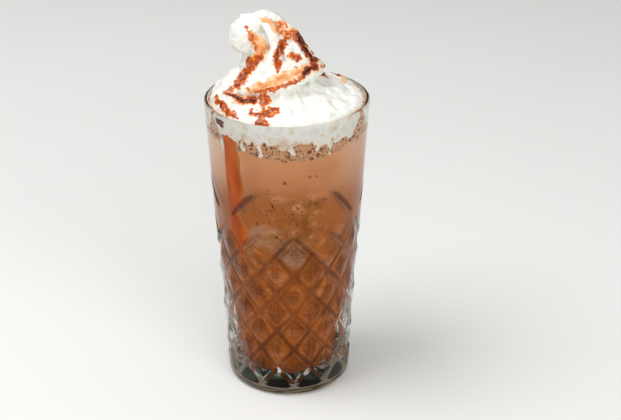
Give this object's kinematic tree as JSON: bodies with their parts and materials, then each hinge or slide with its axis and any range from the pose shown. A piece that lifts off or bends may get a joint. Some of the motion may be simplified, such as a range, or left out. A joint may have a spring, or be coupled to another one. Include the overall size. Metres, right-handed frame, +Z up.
{
  "type": "chocolate milkshake in a glass",
  "caption": "Tall tapered glass with a crossed-groove pattern, filled with chocolate milkshake and topped with a leaning swirl of whipped cream.",
  "frame": {"origin": "centre of the glass's foot, on the surface it stands on", "axes": "+Z up along the glass's axis, -Y towards the front, where the cream's tip curls to the left, towards -X"},
  "size_m": [0.083, 0.083, 0.2025],
  "materials": {
    "clear_glass": "clear pressed glass, polished, with sharp cut grooves",
    "chocolate_drink": "milky brown drink with fine foam bubbles",
    "cream": "soft white whipped cream with a satin skin",
    "sauce": "glossy translucent chocolate syrup"
  },
  "bodies": {
    "root": {"glass": "clear_glass", "milkshake": "chocolate_drink", "whipped_cream": "cream"}
  },
  "joints": []
}
